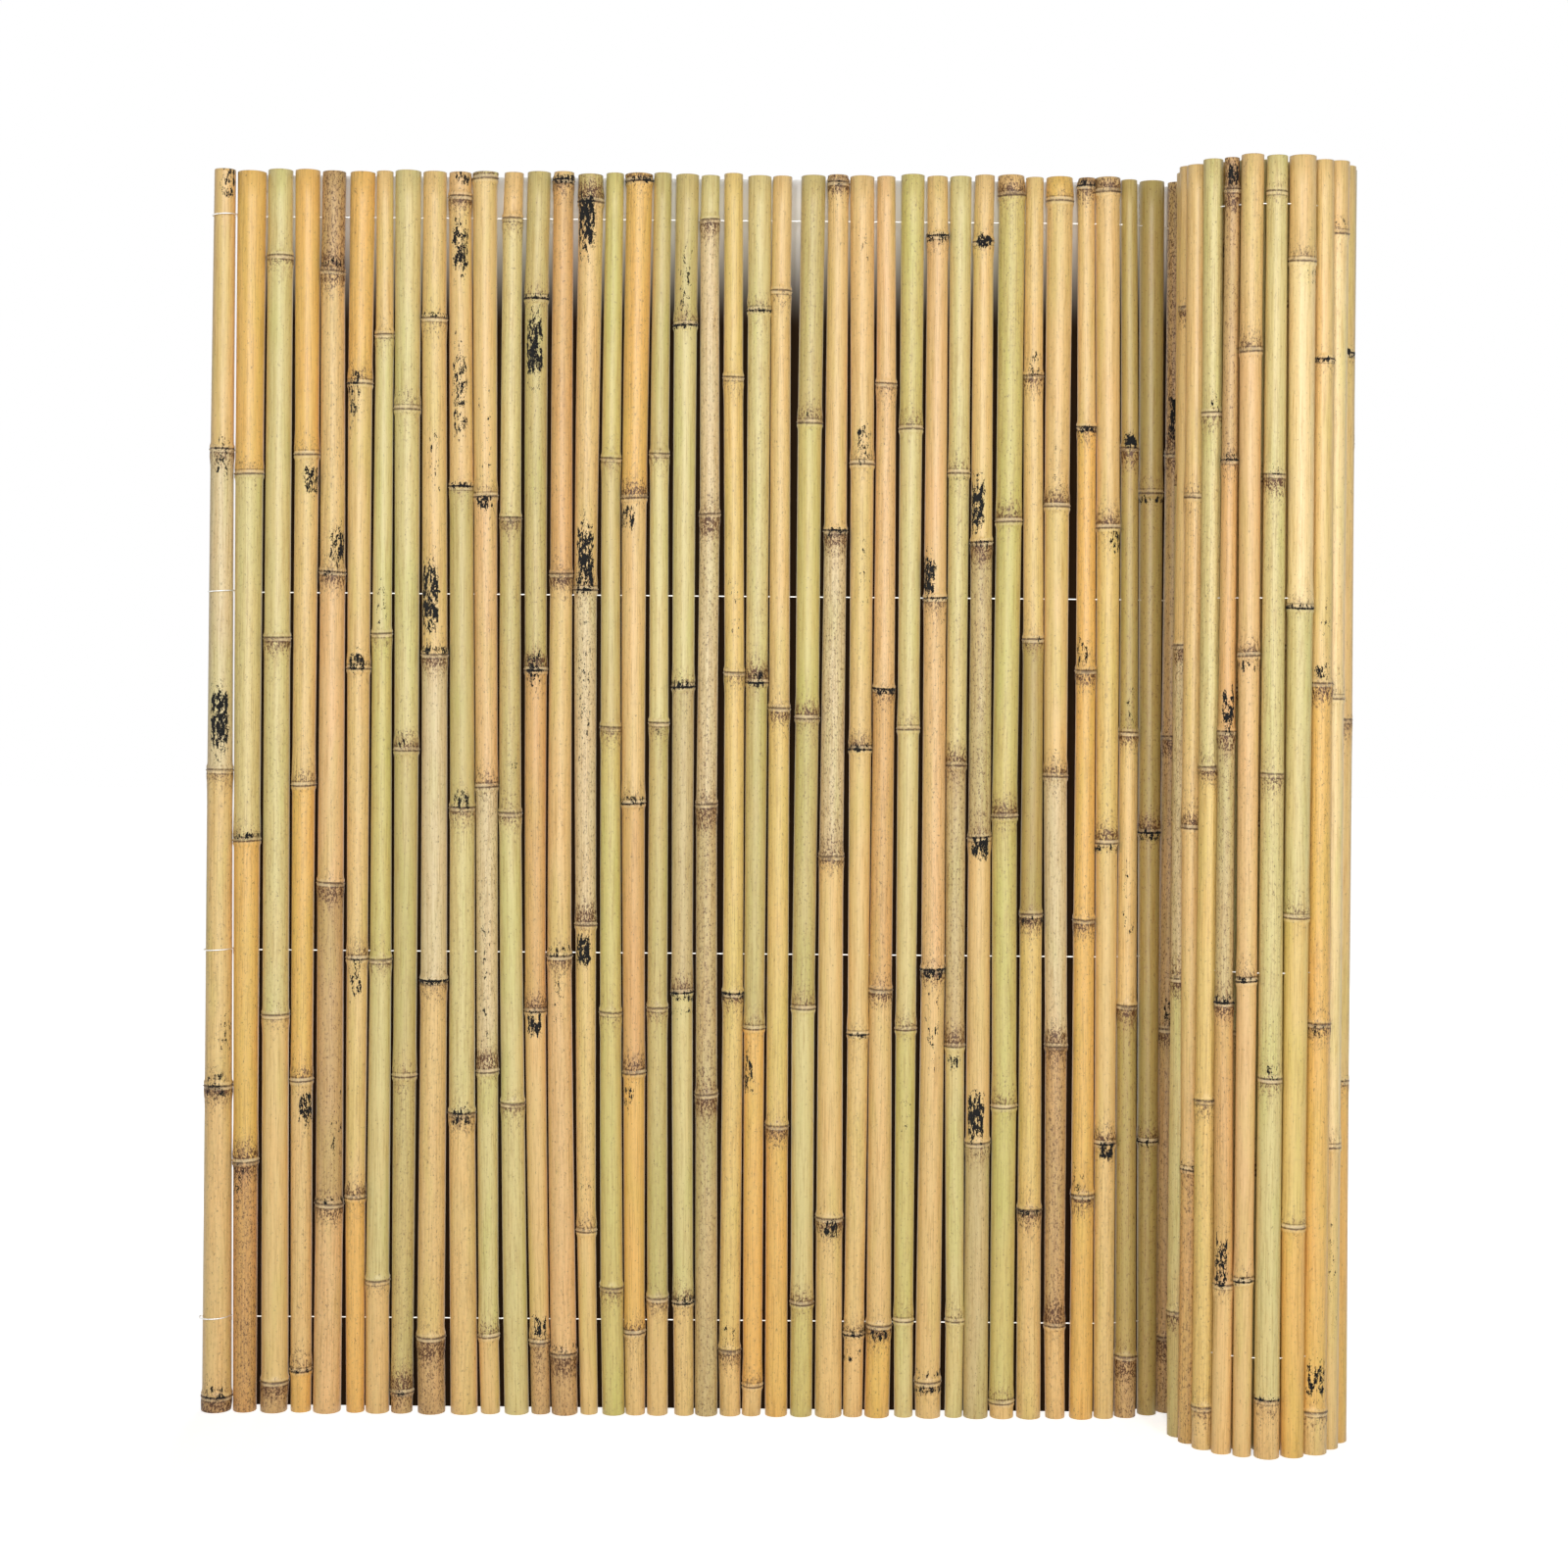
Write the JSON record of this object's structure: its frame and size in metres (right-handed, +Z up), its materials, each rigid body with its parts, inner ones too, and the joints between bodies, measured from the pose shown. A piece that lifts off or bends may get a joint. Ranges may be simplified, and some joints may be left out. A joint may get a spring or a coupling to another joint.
{
  "type": "bamboo screening roll",
  "caption": "Screening roll of upright bamboo canes threaded on rows of galvanised wire, partly unrolled: a straight run with the rest still rolled up at one end.",
  "frame": {"origin": "middle of the footprint, on the floor under the canes", "axes": "+Z up along the canes, +X along the unrolled part from its free edge to the roll, -Y towards the side on which the roll stands forward"},
  "size_m": [1.1194, 0.1892, 1.22],
  "materials": {
    "bamboo": "natural dried bamboo, smooth with a low sheen",
    "wire": "galvanised"
  },
  "bodies": {
    "root": {"cane_01": "bamboo", "cane_02": "bamboo", "cane_03": "bamboo", "cane_04": "bamboo", "cane_05": "bamboo", "cane_06": "bamboo", "cane_07": "bamboo", "cane_08": "bamboo", "cane_09": "bamboo", "cane_10": "bamboo", "cane_11": "bamboo", "cane_12": "bamboo", "cane_13": "bamboo", "cane_14": "bamboo", "cane_15": "bamboo", "cane_16": "bamboo", "cane_17": "bamboo", "cane_18": "bamboo", "cane_19": "bamboo", "cane_20": "bamboo", "cane_21": "bamboo", "cane_22": "bamboo", "cane_23": "bamboo", "cane_24": "bamboo", "cane_25": "bamboo", "cane_26": "bamboo", "cane_27": "bamboo", "cane_28": "bamboo", "cane_29": "bamboo", "cane_30": "bamboo", "cane_31": "bamboo", "cane_32": "bamboo", "cane_33": "bamboo", "cane_34": "bamboo", "cane_35": "bamboo", "cane_36": "bamboo", "cane_37": "bamboo", "cane_38": "bamboo", "cane_39": "bamboo", "cane_40": "bamboo", "cane_41": "bamboo", "cane_42": "bamboo", "cane_48": "bamboo", "cane_49": "bamboo", "cane_50": "bamboo", "cane_51": "bamboo", "cane_52": "bamboo", "cane_53": "bamboo", "cane_54": "bamboo", "cane_55": "bamboo", "cane_56": "bamboo", "cane_57": "bamboo", "roll_back": "bamboo", "roll_inside_inner": "bamboo", "roll_inside_outer": "bamboo", "wire_foot": "wire", "wire_head": "wire", "wire_lower": "wire", "wire_upper": "wire"}
  },
  "joints": []
}
